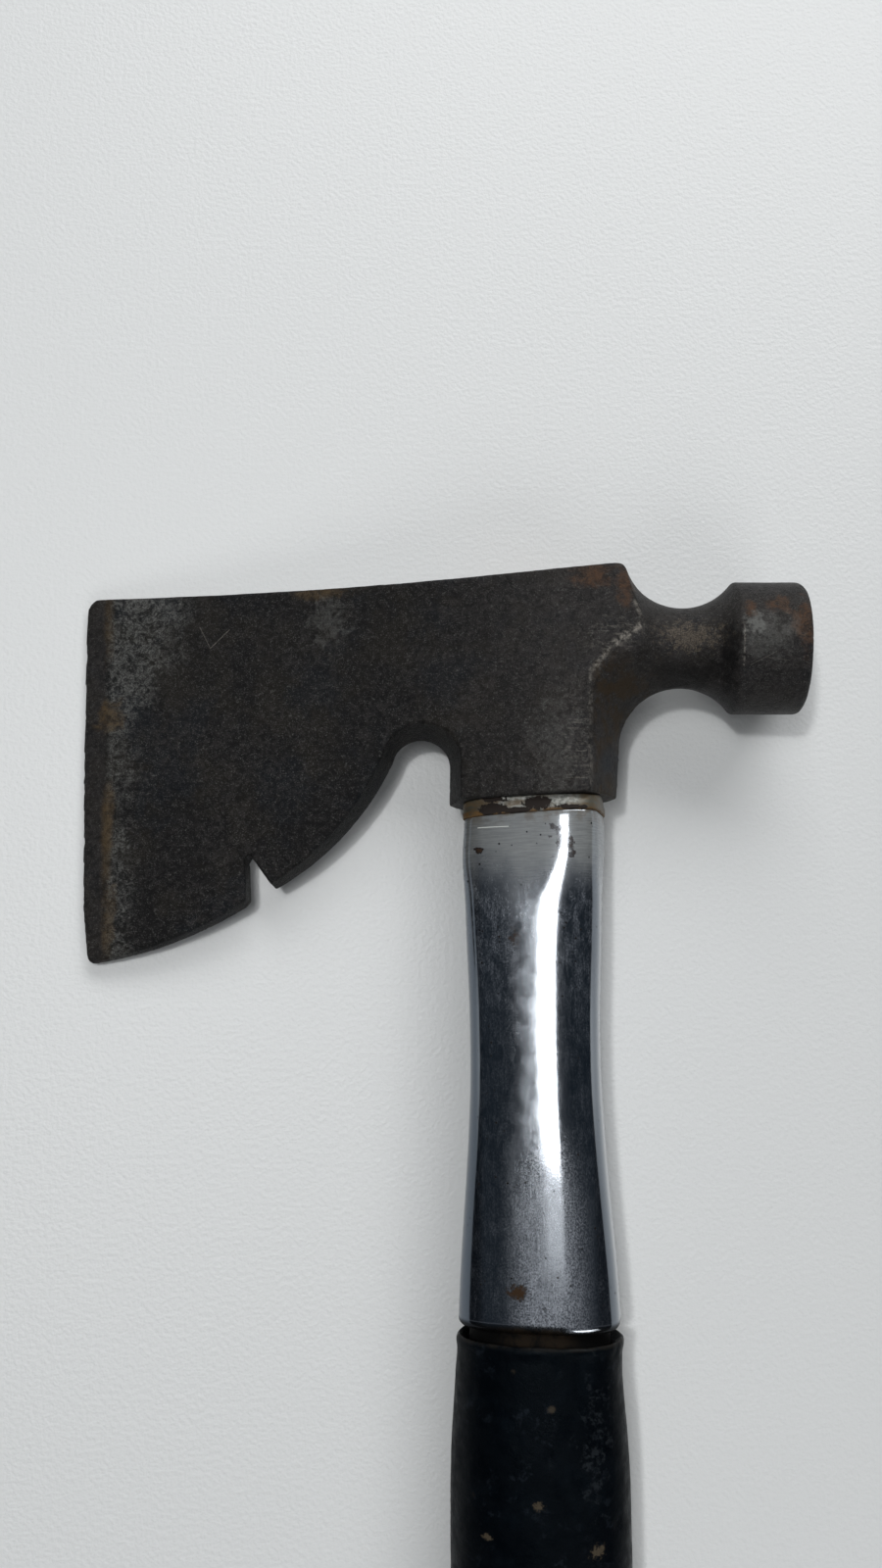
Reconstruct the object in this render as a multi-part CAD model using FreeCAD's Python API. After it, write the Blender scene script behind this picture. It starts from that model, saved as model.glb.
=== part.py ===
"""Half hatchet with a hammer poll on a tubular steel handle, lying on its side.

Pieces: a forged head, a formed steel tube for the handle, a thin collar under the
head, a hickory core and a steel wedge that lock the tube in the eye, a rubber grip
and the plug that closes the tube's lower end.

Working frame, in millimetres: the handle's axis is Y, towards the head's top, X goes
from the blade to the poll and Z is up, square to the blade. Z = 0 is the plane that
halves every piece. The poll's axis crosses the handle's axis at the origin, and
everything is moved to its resting place at the end.
"""

import FreeCAD
import Part

import math
import os

from FreeCAD import Vector

# ---- head ----
HANG = 1.0                  # degrees that the head leans on the handle, edge up
HEAD_SHIFT = 0.6            # and how far it sits from the handle's axis, towards the poll
CHEEK = 13.9                # half thickness of the head behind the eye
DRAFT = 18.0                # forging draft of the walls round the blade and the socket
TOP_DRAFT = 15.0            # ... and of the head's top, in degrees
MOUTH_SLOPE = 2.8           # slope of the socket's lower end, in degrees
MOUTH = 38.6                # from the poll's axis down to the socket's lower end
MOUTH_SPARE = 8.0           # forged past that end, then ground off flat
SOCKET_FRONT = 19.6         # from the handle's axis to the socket's front wall
SOCKET_BACK = 22.0          # ... and to the wall behind it, where the neck starts
EDGE_X = 112.4              # from the handle's axis to the cutting edge
EDGE_SLANT = 3.1            # degrees between the cutting edge and the head's Y
EDGE_THICK = 0.5            # width of the worn cutting edge
BEVEL = 6.2                 # width of the ground bevel
BEVEL_THICK = 3.6           # blade thickness where the bevel starts
# The hollow taper of the blade's sides up to the flat of the cheeks, as (X, 0, half).
TAPER = [
    Vector(-84.0, 0, 2.9),
    Vector(-60.0, 0, 4.6),
    Vector(-40.0, 0, 6.7),
    Vector(-24.0, 0, 9.1),
    Vector(-8.0, 0, 11.9),
]
CHEEK_START = 8.0           # where the cheeks turn flat
TOE_CORNER = Vector(-108.6, 13.2, 0)        # rounded upper corner of the edge, from the top ...
TOE_MIDDLE = Vector(-111.4, 11.8, 0)
EDGE_TOP = Vector(-112.4, 8.6, 0)           # ... to where the cutting edge starts
EDGE_LENGTH = 74.6
EDGE_BULGE = 0.4                            # how far its middle stands out
EDGE_HEEL = Vector(-106.6, -77.0, 0)        # the worn lower corner ...
HEEL_ROUND = Vector(-105.9, -78.1, 0)
HEEL_END = Vector(-104.9, -78.6, 0)         # ... up to the blade's lower edge
TOP_RIGHT = Vector(26.0, 21.7, 0)           # the top edge, a long shallow curve from
TOP_MIDDLE = Vector(-42.0, 15.9, 0)         # behind the eye ...
TOP_LEFT = Vector(-118.0, 12.9, 0)          # ... to past the cutting edge
ARCH_RADIUS = 7.0           # round top of the bay between blade and socket
ARCH_TOP = 23.4
BEARD_TOP = Vector(-33.4, -29.0, 0)         # blade's lower edge, from the arch ...
BEARD_MIDDLE = Vector(-47.2, -49.4, 0)
BEARD_LOW = Vector(-64.4, -62.2, 0)         # ... to the nail slot ...
HEEL_MIDDLE = Vector(-89.7, -75.0, 0)
HEEL = Vector(-118.0, -80.1, 0)             # ... and to past the edge's lower corner

# ---- neck and poll, turned about the poll's axis ----
NECK_ROOT = 12.0            # where the turned body starts, inside the socket's wall
NECK_RADIUS = 9.9           # at the waist
WAIST_X = 36.9
WAIST_ARC = 14.9            # radius of the hollow between head and poll
POLL_RADIUS = 16.1
POLL_RIM = 1.6              # rounding of the striking face's rim
POLL_FACE_X = 65.7
POLL_CROWN = 0.6            # height of the striking face's crown
SCOOP_RADIUS = 15.3         # the hollow under the neck, behind the socket
SCOOP_SHIFT = Vector(-8.1, 7.2, CHEEK)      # its lean, from Z = 0 to the cheek's plane
SOCKET_BACK_LOW = 19.4      # half width of the socket's back at its lower end ...
RIDGE_X = 13.9              # ... and where that wall meets the cheek

# ---- nail slot, cut straight through the blade ----
SLOT_OUTER = Vector(-67.6, -64.6, 0)
SLOT_END = Vector(-68.5, -53.6, 0)
SLOT_APEX = Vector(-67.6, -51.8, 0)
SLOT_INNER = Vector(-57.4, -65.2, 0)        # past the blade's lower edge
SLOT_OUTER_FAR = Vector(-66.7, -72.6, 0)    # the slot's sides, well clear of the blade
SLOT_INNER_FAR = Vector(-53.4, -71.2, 0)

# ---- handle: (Y, half width, half thickness, squareness of the oval) ----
EYE_OVALS = [(26.0, 14.7, 10.0, 2.3), (0.0, 13.9, 9.5, 2.3), (-46.0, 15.6, 10.5, 2.4)]
SHAFT_OVALS = [
    (-42.6, 16.6, 11.4, 2.8),
    (-52.0, 16.5, 11.5, 2.6),
    (-70.0, 15.7, 12.1, 2.15),
    (-94.0, 15.05, 12.5, 2.0),
    (-118.0, 15.6, 12.4, 2.05),
    (-140.0, 17.2, 12.1, 2.2),
    (-157.4, 18.1, 11.9, 2.35),
]
SEAT_OVALS = [(-152.0, 15.7, 10.0, 2.3), (-200.0, 16.4, 11.2, 2.2), (-303.0, 16.2, 11.4, 2.1)]
WALL = 1.5                  # thickness of the handle's tube
SHOULDER = 1.8              # rounding where the tube steps down into the grip
STEP_TOP = -152.0           # the same step inside the tube: where it starts ...
STEP_LENGTH = 5.0           # ... and its length
EYE_END = -40.0             # where the tube starts to widen below the eye, inside

COLLAR_HEIGHT = 3.9
COLLAR_PROUD = 0.35         # how far the collar stands off the shaft

CORE_BOTTOM = -62.0         # lower end of the hickory core
END_RECESS = 0.5            # tube, core and wedge end this far below the head's top
WEDGE_WIDTH = 20.0
WEDGE_THICK = 4.2
WEDGE_TIP = 1.2
WEDGE_LENGTH = 30.0

GRIP_OVALS = [
    (-159.4, 18.5, 13.3, 2.3),
    (-164.0, 18.5, 13.4, 2.3),
    (-170.0, 18.8, 13.6, 2.25),
    (-182.0, 19.6, 14.1, 2.2),
    (-200.0, 19.8, 14.4, 2.2),
    (-232.0, 19.1, 14.0, 2.2),
    (-262.0, 18.6, 13.3, 2.2),
    (-286.0, 19.6, 13.4, 2.2),
    (-299.0, 21.2, 14.1, 2.2),
    (-309.0, 20.6, 13.7, 2.2),
]
GRIP_END = -312.0
GRIP_MOUTH = 1.3            # chamfer inside the grip's lip
BUTT_ROUNDING = 2.9
PLUG_LENGTH = 14.0
PLUG_FLANGE = 2.0
PLUG_OUT = 0.9              # how far the plug's flange reaches past the tube's wall

# How the hatchet lies: turned about Y until the edge touches, then about X.
ROLL = -6.217
PITCH = -0.343

OVAL_POINTS = 48
FAR = 60.0                  # past every piece that is being trimmed


def polar(radius, degrees, centre):
    """The point at that radius and angle round a centre in the plane Z = 0."""
    turn = math.radians(degrees)
    return centre + Vector(radius * math.cos(turn), radius * math.sin(turn), 0)


def line(start, end):
    return Part.LineSegment(start, end).toShape()


def arc(start, middle, end):
    return Part.Arc(start, middle, end).toShape()


def lines(*points):
    """The edges of an open run of straight lines."""
    return [line(a, b) for a, b in zip(points, points[1:])]


def prism(wire, half_height):
    """A closed wire in the plane Z = 0, made solid to both sides of it."""
    face = Part.Face(wire)
    face.translate(Vector(0, 0, -half_height))
    return face.extrude(Vector(0, 0, 2 * half_height))


def both_sides(solid):
    """The solid together with its mirror image below Z = 0."""
    return solid.fuse(solid.mirror(Vector(0, 0, 0), Vector(0, 0, 1)))


# ---- head ----


def head_outline():
    """The blade and the socket seen square to the blade, still open at edge and top."""
    arch = Vector(-SOCKET_FRONT - ARCH_RADIUS, -ARCH_TOP - ARCH_RADIUS, 0)
    front_top = polar(ARCH_RADIUS, 0, arch)
    top_far = Vector(HEEL.x, FAR, 0)
    top_back = Vector(SOCKET_BACK, FAR, 0)
    back_low = Vector(SOCKET_BACK, -MOUTH - MOUTH_SPARE, 0)
    front_low = Vector(-SOCKET_FRONT, -MOUTH - MOUTH_SPARE, 0)
    return Part.Wire(
        lines(top_far, top_back, back_low, front_low, front_top)
        + [arc(front_top, polar(ARCH_RADIUS, 90, arch), polar(ARCH_RADIUS, 155, arch))]
        + [line(polar(ARCH_RADIUS, 155, arch), BEARD_TOP)]
        + [arc(BEARD_TOP, BEARD_MIDDLE, BEARD_LOW), arc(BEARD_LOW, HEEL_MIDDLE, HEEL)]
        + [line(HEEL, top_far)]
    )


def drafted_block():
    """The outline as a forging: its walls lean in by the draft on both sides."""
    inset = CHEEK * math.tan(math.radians(DRAFT))
    outline = head_outline()
    cheek = outline.makeOffset2D(-inset, join=2)
    cheek.translate(Vector(0, 0, CHEEK))
    return both_sides(Part.makeLoft([outline, cheek], True, True))


def neck_and_poll():
    """The waisted neck and the round poll, one turned body."""
    waist = Vector(WAIST_X, NECK_RADIUS + WAIST_ARC, 0)
    seam_rise = waist.y - POLL_RADIUS
    seam = Vector(WAIST_X + math.sqrt(WAIST_ARC**2 - seam_rise**2), POLL_RADIUS, 0)
    rim = Vector(POLL_FACE_X - POLL_RIM, POLL_RADIUS - POLL_RIM, 0)
    crown = Vector(POLL_FACE_X + POLL_CROWN, 0, 0)
    crown_radius = (rim.y**2 + POLL_CROWN**2) / (2 * POLL_CROWN)
    crown_centre = crown - Vector(crown_radius, 0, 0)
    crown_turn = math.degrees(math.asin(rim.y / crown_radius))
    profile = Part.Wire(
        lines(crown, Vector(NECK_ROOT, 0, 0), Vector(NECK_ROOT, waist.y, 0))
        + lines(Vector(NECK_ROOT, waist.y, 0), polar(WAIST_ARC, 180, waist))
        + [arc(polar(WAIST_ARC, 180, waist), polar(WAIST_ARC, 270, waist), seam)]
        + [line(seam, polar(POLL_RIM, 90, rim))]
        + [arc(polar(POLL_RIM, 90, rim), polar(POLL_RIM, 45, rim), polar(POLL_RIM, 0, rim))]
        + [arc(polar(POLL_RIM, 0, rim), polar(crown_radius, crown_turn / 2, crown_centre), crown)]
    )
    return Part.Face(profile).revolve(Vector(0, 0, 0), Vector(1, 0, 0), 360)


def thickness_profile():
    """The head's thickness from the edge to the poll, run along the cutting edge."""
    start = -EDGE_X
    cheek_start = Vector(CHEEK_START, 0, CHEEK)
    bevel_top = Vector(start + BEVEL, 0, BEVEL_THICK / 2)
    taper = Part.BSplineCurve()
    taper.interpolate(
        Points=[bevel_top, *TAPER, cheek_start],
        InitialTangent=Vector(1, 0, 0.05),
        FinalTangent=Vector(1, 0, 0),
    )
    neck_x = WAIST_X - 8
    upper = (
        lines(Vector(start, 0, 0), Vector(start, 0, EDGE_THICK / 2), bevel_top)
        + [taper.toShape()]
        + lines(
            cheek_start,
            Vector(neck_x, 0, CHEEK),
            Vector(neck_x, 0, FAR),
            Vector(2 * FAR, 0, FAR),
            Vector(2 * FAR, 0, 0),
            Vector(start, 0, 0),
        )
    )
    half = Part.Face(Part.Wire(upper))
    slant = math.radians(EDGE_SLANT)
    along_edge = Vector(math.sin(slant), -math.cos(slant), 0)
    half.translate(along_edge * -2 * FAR)
    return both_sides(half.extrude(along_edge * 4 * FAR))


def edge_trim():
    """Everything to the poll's side of the cutting edge, with its rounded corners."""
    slant = math.radians(EDGE_SLANT)
    along = Vector(math.sin(slant), -math.cos(slant), 0)
    out = Vector(-math.cos(slant), -math.sin(slant), 0)
    edge_low = EDGE_TOP + along * EDGE_LENGTH
    bulge = EDGE_TOP + along * (EDGE_LENGTH / 2) + out * EDGE_BULGE
    above = Vector(TOE_CORNER.x, 2 * FAR, 0)
    below = Vector(HEEL_END.x, -2 * FAR, 0)
    far = Vector(2 * FAR, 0, 0)
    outline = (
        [line(above, TOE_CORNER), arc(TOE_CORNER, TOE_MIDDLE, EDGE_TOP)]
        + [arc(EDGE_TOP, bulge, edge_low), line(edge_low, EDGE_HEEL)]
        + [arc(EDGE_HEEL, HEEL_ROUND, HEEL_END)]
        + lines(HEEL_END, below, below + far * 2, above + far * 2, above)
    )
    return prism(Part.Wire(outline), FAR)


def roof(drop=0.0):
    """Everything under the head's top faces, which lean in to both sides by the draft."""
    inset = FAR * math.tan(math.radians(TOP_DRAFT))
    low = Vector(0, -8 * FAR, 0)

    def section(height, lowered):
        shift = Vector(0, -drop - lowered, height)
        left, middle, right = (point + shift for point in (TOP_LEFT, TOP_MIDDLE, TOP_RIGHT))
        over_poll = right + Vector(FAR, 0, 0)
        return Part.Wire(
            [arc(left, middle, right)]
            + lines(right, over_poll, over_poll + low, left + low, left)
        )

    return both_sides(Part.makeLoft([section(0, 0), section(FAR, inset)], True, True))


def scoop():
    """The hollow behind the socket and under the neck, cut from each cheek."""
    clear = 0.3                                     # off the neck at Z = 0
    centre = Vector(WAIST_X, -NECK_RADIUS - SCOOP_RADIUS - clear, 0)

    def section(share):
        bent = 0.67 * share + 0.33 * share**2
        middle = centre + Vector(SCOOP_SHIFT.x * bent, SCOOP_SHIFT.y * bent, SCOOP_SHIFT.z * share)
        left = polar(SCOOP_RADIUS, 180, middle)
        right = polar(SCOOP_RADIUS, 62, middle)
        low_left = Vector(SOCKET_BACK_LOW + (RIDGE_X - SOCKET_BACK_LOW) * share, -FAR, middle.z)
        low_right = Vector(right.x, -FAR, middle.z)
        return Part.Wire(
            [arc(right, polar(SCOOP_RADIUS, 120, middle), left)]
            + lines(left, low_left, low_right, right)
        )

    # From Z = 0 to well past the cheek's plane.
    shares = (0.0, 0.45, 0.9, 1.35)
    return both_sides(Part.makeLoft([section(share) for share in shares], True, False))


def nail_slot():
    sides = (SLOT_OUTER_FAR, SLOT_OUTER, SLOT_END, SLOT_APEX, SLOT_INNER, SLOT_INNER_FAR)
    return prism(Part.Wire(lines(*sides, SLOT_OUTER_FAR)), FAR)


def on_handle(shape):
    """The shape moved from the head's own frame into the handle's."""
    shape = shape.translated(Vector(HEAD_SHIFT, 0, 0))
    return shape.rotated(Vector(0, 0, 0), Vector(0, 0, 1), -HANG)


def head():
    blank = drafted_block().fuse(neck_and_poll())
    blank = blank.common(thickness_profile()).common(edge_trim()).common(roof())
    blank = on_handle(blank.cut(scoop()).cut(nail_slot()))
    return blank.cut([oval_loft(EYE_OVALS), under_mouth(0.0)]).removeSplitter()


# ---- handle ----


def oval(y, half_width, half_thickness, squareness):
    """A closed smooth superellipse round the handle's axis."""
    points = []
    for i in range(OVAL_POINTS):
        turn = 2 * math.pi * i / OVAL_POINTS
        c, s = math.cos(turn), math.sin(turn)
        x = math.copysign(abs(c) ** (2 / squareness), c) * half_width
        z = math.copysign(abs(s) ** (2 / squareness), s) * half_thickness
        points.append(Vector(x, y, z))
    curve = Part.BSplineCurve()
    curve.interpolate(Points=points, PeriodicFlag=True)
    return Part.Wire(curve.toShape())


def grown(oval_row, amount):
    y, half_width, half_thickness, squareness = oval_row
    return y, half_width + amount, half_thickness + amount, squareness


def oval_loft(ovals, grow=0.0):
    """A smooth solid through the ovals, each one grown outwards by the same amount."""
    return Part.makeLoft([oval(*grown(row, grow)) for row in ovals], True, False)


def between(ovals, y):
    """Half width, half thickness and squareness at y, between two ovals."""
    for high, low in zip(ovals, ovals[1:]):
        if high[0] >= y >= low[0]:
            share = (high[0] - y) / (high[0] - low[0])
            return [h + (l - h) * share for h, l in zip(high[1:], low[1:])]
    raise ValueError(f"no oval at {y}")


def under_mouth(drop):
    """Everything more than drop below the socket's lower end, clear of the blade."""
    corner = Vector(-SOCKET_FRONT - ARCH_RADIUS, -8 * FAR, -FAR)
    box = Part.makeBox(4 * FAR, 8 * FAR, 2 * FAR, corner)
    box = box.rotated(Vector(0, 0, 0), Vector(0, 0, 1), MOUTH_SLOPE - HANG)
    box.translate(Vector(0, -MOUTH - drop, 0))
    return box


def tube_inside():
    """The room inside the handle's tube."""
    eye_low = (EYE_END, *between(EYE_OVALS, EYE_END))
    step_top = (STEP_TOP, *between(SHAFT_OVALS, STEP_TOP))
    step_low = (STEP_TOP - STEP_LENGTH, *between(SEAT_OVALS, STEP_TOP - STEP_LENGTH))
    end_y, *end_size = SEAT_OVALS[-1]
    past_end = (end_y - 5.0, *end_size)
    eye = oval_loft([*EYE_OVALS[:2], eye_low], -WALL)
    flare = oval_loft([eye_low, SHAFT_OVALS[1]], -WALL)
    shaft = oval_loft([*SHAFT_OVALS[1:-1], step_top], -WALL)
    step = oval_loft([step_top, step_low], -WALL)
    seat = oval_loft([step_low, *SEAT_OVALS[1:-1], past_end], -WALL)
    return eye.fuse([flare, shaft, step, seat])


def tube_outside():
    shaft = oval_loft(SHAFT_OVALS)
    lowest = SHAFT_OVALS[-1][0]
    rim = [edge for edge in shaft.Edges if edge.BoundBox.YMax < lowest + 0.1]
    shaft = shaft.makeFillet(SHOULDER, rim).common(under_mouth(COLLAR_HEIGHT))
    return shaft.fuse([oval_loft(EYE_OVALS), oval_loft(SEAT_OVALS)])


def handle_tube():
    return tube_outside().cut(tube_inside()).common(on_handle(roof(END_RECESS)))


def neck_collar():
    """The band between the socket's lower end and the tube's shoulder."""
    size = SHAFT_OVALS[0][1:]
    band = oval_loft([(-MOUTH + 5, *size), (-MOUTH - COLLAR_HEIGHT - 5, *size)], COLLAR_PROUD)
    band = band.common(under_mouth(0.0)).cut(under_mouth(COLLAR_HEIGHT))
    return band.cut(oval_loft(EYE_OVALS))


# ---- core and wedge ----


def head_wedge():
    """A thin steel wedge down the middle of the core, from the head's top."""
    top = TOP_RIGHT.y
    half = WEDGE_WIDTH / 2

    def section(y, half_thick):
        right = Vector(half, y, half_thick)
        left = Vector(-half, y, half_thick)
        down = Vector(0, 0, -2 * half_thick)
        return Part.Wire(lines(left + down, right + down, right, left, left + down))

    sections = [section(top, WEDGE_THICK / 2), section(top - WEDGE_LENGTH, WEDGE_TIP / 2)]
    return Part.makeLoft(sections, True, True).common(on_handle(roof(END_RECESS)))


def core_plug():
    core = tube_inside().cut(beyond(CORE_BOTTOM)).common(on_handle(roof(END_RECESS)))
    return core.cut(head_wedge())


def beyond(y):
    """Everything lower than y on the handle."""
    return Part.makeBox(4 * FAR, 8 * FAR, 2 * FAR, Vector(-2 * FAR, y - 8 * FAR, -FAR))


# ---- grip ----


def butt_plug():
    end_y, *end_size = SEAT_OVALS[-1]
    inner = oval_loft([(end_y + PLUG_LENGTH, *end_size), (end_y - PLUG_FLANGE, *end_size)], -WALL)
    flange = oval_loft([(end_y, *end_size), (end_y - PLUG_FLANGE, *end_size)], PLUG_OUT)
    stem = inner.common(tube_inside()).fuse(flange)
    return stem.removeSplitter()


def grip():
    body = oval_loft([*GRIP_OVALS, (GRIP_END, *GRIP_OVALS[-1][1:])])
    rim = [edge for edge in body.Edges if edge.BoundBox.YMax < GRIP_END + 0.1]
    body = body.makeFillet(BUTT_ROUNDING, rim)
    top = GRIP_OVALS[0][0]
    seat = (top, *between(SEAT_OVALS, top))
    mouth = oval_loft([grown(seat, GRIP_MOUTH), (top - GRIP_MOUTH, *seat[1:])])
    return body.cut([tube_outside(), butt_plug(), mouth])


# ---- the whole hatchet ----

PIECES = {
    "head": head,
    "handle_tube": handle_tube,
    "neck_collar": neck_collar,
    "core_plug": core_plug,
    "head_wedge": head_wedge,
    "grip": grip,
    "butt_plug": butt_plug,
}


def laid_down(shape):
    """The shape turned so that the hatchet lies on its edge, its cheek and its grip."""
    shape = shape.rotated(Vector(0, 0, 0), Vector(0, 1, 0), ROLL)
    return shape.rotated(Vector(0, 0, 0), Vector(1, 0, 0), PITCH)


def main():
    os.makedirs("parts", exist_ok=True)
    shapes = {name: laid_down(make()) for name, make in PIECES.items()}
    whole = FreeCAD.BoundBox()
    for shape in shapes.values():
        whole.add(shape.optimalBoundingBox(False, False))
    to_origin = Vector(-whole.Center.x, -whole.Center.y, -whole.ZMin)
    print("moved by", to_origin)
    for name, shape in shapes.items():
        shape.translate(to_origin)
        print(name, shape.isValid(), len(shape.Solids), round(shape.Volume))
        shape.exportStep(f"parts/{name}.step")


main()
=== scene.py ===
"""Looks of a half hatchet: a forged head with a hammer poll, a plated tubular handle
and a rubber grip, lying on its side on a pale table.

Two sets of axes are used besides the row's own, both in millimetres. The handle's
axes have Y up the handle and Z square to the blade's plane. The head's axes are the
same, turned by the head's hang, with the poll's axis on X.
"""

import math

import bpy
import numpy as np
from mathutils import Matrix, Vector, noise


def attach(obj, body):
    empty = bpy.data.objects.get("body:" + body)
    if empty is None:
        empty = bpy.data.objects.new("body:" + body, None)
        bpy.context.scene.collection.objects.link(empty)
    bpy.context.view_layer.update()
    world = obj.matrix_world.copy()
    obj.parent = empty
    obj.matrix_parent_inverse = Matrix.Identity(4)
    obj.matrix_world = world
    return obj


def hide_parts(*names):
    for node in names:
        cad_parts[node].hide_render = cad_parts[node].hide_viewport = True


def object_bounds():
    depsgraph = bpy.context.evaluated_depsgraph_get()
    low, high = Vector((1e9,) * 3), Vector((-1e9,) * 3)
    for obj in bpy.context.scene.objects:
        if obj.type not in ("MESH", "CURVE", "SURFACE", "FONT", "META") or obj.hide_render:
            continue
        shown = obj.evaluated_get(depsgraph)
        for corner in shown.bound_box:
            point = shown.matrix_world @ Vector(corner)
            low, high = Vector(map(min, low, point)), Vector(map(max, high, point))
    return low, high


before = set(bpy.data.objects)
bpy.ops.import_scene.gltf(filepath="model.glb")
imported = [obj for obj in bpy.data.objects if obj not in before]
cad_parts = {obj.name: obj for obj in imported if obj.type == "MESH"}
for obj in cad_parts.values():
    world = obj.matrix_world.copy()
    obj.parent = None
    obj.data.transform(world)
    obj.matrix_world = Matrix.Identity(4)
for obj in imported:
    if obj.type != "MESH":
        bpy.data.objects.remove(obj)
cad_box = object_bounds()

# ---- how the hatchet lies, as in the CAD ----
HANG = math.radians(1.0)
HEAD_SHIFT = 0.6
ROLL = math.radians(-6.217)
PITCH = math.radians(-0.343)
TUBE_END = -303.0

# ---- driving sizes of the pieces that are made again here, in millimetres ----
EDGE_X = -112.4
EDGE_Y = 4.6
EDGE_SLANT = math.radians(3.1)
BEVEL = 6.4
MOUTH = -38.6
MOUTH_SLOPE = math.radians(2.8)
COLLAR_HEIGHT = 3.9
WALL = 2.7                  # of the tube's made skin; its inside lies hidden in the core
FIT = 0.02                  # what a made skin stands off the one it sits on

# (Y, half width, half thickness, squareness of the oval)
EYE_OVALS = [(26.0, 14.7, 10.0, 2.3), (0.0, 13.9, 9.5, 2.3), (-46.0, 15.6, 10.5, 2.4)]
SHAFT_OVALS = [
    (-42.6, 16.2, 11.0, 4.2),
    (-52.0, 16.35, 11.1, 4.2),
    (-60.0, 16.1, 11.35, 3.6),
    (-72.0, 15.75, 11.75, 3.3),
    (-90.0, 15.05, 11.95, 3.3),
    (-104.0, 15.0, 11.95, 3.3),
    (-118.0, 15.6, 11.85, 3.35),
    (-134.0, 16.7, 11.7, 3.4),
    (-146.0, 17.6, 11.6, 3.2),
    (-157.4, 18.2, 11.5, 3.0),
]
SEAT_OVALS = [(-152.0, 15.7, 10.0, 2.3), (-200.0, 16.4, 11.2, 2.2), (-303.0, 16.2, 11.4, 2.1)]
GRIP_OVALS = [
    (-159.4, 18.5, 13.3, 2.3),
    (-164.0, 18.5, 13.4, 2.3),
    (-170.0, 18.8, 13.6, 2.25),
    (-182.0, 19.6, 14.1, 2.2),
    (-200.0, 19.8, 14.4, 2.2),
    (-232.0, 19.1, 14.0, 2.2),
    (-262.0, 18.6, 13.3, 2.2),
    (-286.0, 19.6, 13.4, 2.2),
    (-299.0, 21.2, 14.1, 2.2),
    (-312.0, 20.5, 13.6, 2.2),
]
SHAFT_TURN = math.radians(-8.0)         # the handle's oval sits a little askew in the head
NECK_TURN = math.radians(-5.0)          # ... and more so where it is squeezed under it
SHOULDER = 1.8
BUTT_ROUNDING = 2.9

MM = Matrix.Scale(0.001, 4)


def handle_axes():
    """The handle's axes in the row frame, in millimetres, read off the CAD's tube."""
    lean = Matrix.Rotation(PITCH, 4, "X") @ Matrix.Rotation(ROLL, 4, "Y")
    back = np.array(lean.to_3x3().transposed())
    tube = np.array([v.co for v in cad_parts["handle_tube"].data.vertices]) * 1000
    tube = tube @ back.T
    low, high = tube.min(0), tube.max(0)
    middle = (low + high) / 2
    start = Vector((middle[0], low[1] - TUBE_END, middle[2]))
    return lean @ Matrix.Translation(start)


HANDLE = handle_axes()
HEAD = HANDLE @ Matrix.Rotation(-HANG, 4, "Z") @ Matrix.Translation((HEAD_SHIFT, 0, 0))


# ---- meshes ----


def new_piece(name, points, faces, axes, material, slot, *nodes):
    """A mesh given in millimetres on those axes, as a finished piece for CAD nodes."""
    mesh = bpy.data.meshes.new(name)
    mesh.from_pydata([tuple(p) for p in points], [], faces)
    mesh.transform(MM @ axes)
    mesh.shade_smooth()
    mesh.update()
    piece = bpy.data.objects.new(name, mesh)
    bpy.context.scene.collection.objects.link(piece)
    piece.data.materials.append(material)
    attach(piece, "root")
    if nodes:
        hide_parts(*nodes)
    return piece


def resampled(rows, step):
    """The rows with more between them, on a smooth curve, from the highest Y down."""
    rows = np.array(rows, float)[::-1]
    y, values = rows[:, 0], rows[:, 1:]
    slopes = np.gradient(values, y, axis=0)
    count = max(2, round((y[-1] - y[0]) / step) + 1)
    at = np.linspace(y[0], y[-1], count)
    i = np.clip(np.searchsorted(y, at) - 1, 0, len(y) - 2)
    h = (y[i + 1] - y[i])[:, None]
    t = (at - y[i])[:, None] / h
    smooth = (
        (1 + 2 * t) * (1 - t) ** 2 * values[i]
        + t * (1 - t) ** 2 * h * slopes[i]
        + t * t * (3 - 2 * t) * values[i + 1]
        + t * t * (t - 1) * h * slopes[i + 1]
    )
    return np.column_stack([at, smooth])[::-1]


def sizes_at(rows, y):
    """Half width, half thickness and squareness at one Y of those rows."""
    dense = resampled(rows, 0.5)[::-1]
    return [float(np.interp(y, dense[:, 0], dense[:, k])) for k in (1, 2, 3)]


def smooth_step(value, start, end):
    share = np.clip((value - start) / (end - start), 0, 1)
    return share * share * (3 - 2 * share)


def bend(points):
    """The handle's slight bow to one side and its turn about its own length."""
    x, y, z = points.T.copy()
    below = smooth_step(y, -36, -41)
    turn = below * (SHAFT_TURN + NECK_TURN * smooth_step(y, -66, -50))
    bow = 0.5 * smooth_step(y, -168, -157.5) + 0.4 * smooth_step(y, -56, -44)
    points[:, 0] = x * np.cos(turn) + z * np.sin(turn) + bow * smooth_step(y, 0, -34)
    points[:, 2] = z * np.cos(turn) - x * np.sin(turn)
    return points


def oval(y, half_width, half_thickness, squareness, count):
    """Points of a superellipse about the handle's axis, evenly spread round it."""
    turn = np.linspace(0, 2 * math.pi, count * 8, endpoint=False)
    c, s = np.cos(turn), np.sin(turn)
    x = np.sign(c) * np.abs(c) ** (2 / squareness) * half_width
    z = np.sign(s) * np.abs(s) ** (2 / squareness) * half_thickness
    x, z = np.append(x, x[0]), np.append(z, z[0])
    run = np.concatenate([[0], np.cumsum(np.hypot(np.diff(x), np.diff(z)))])
    at = np.linspace(0, run[-1], count, endpoint=False)
    return np.column_stack([np.interp(at, run, x), np.full(count, y), np.interp(at, run, z)])


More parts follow.
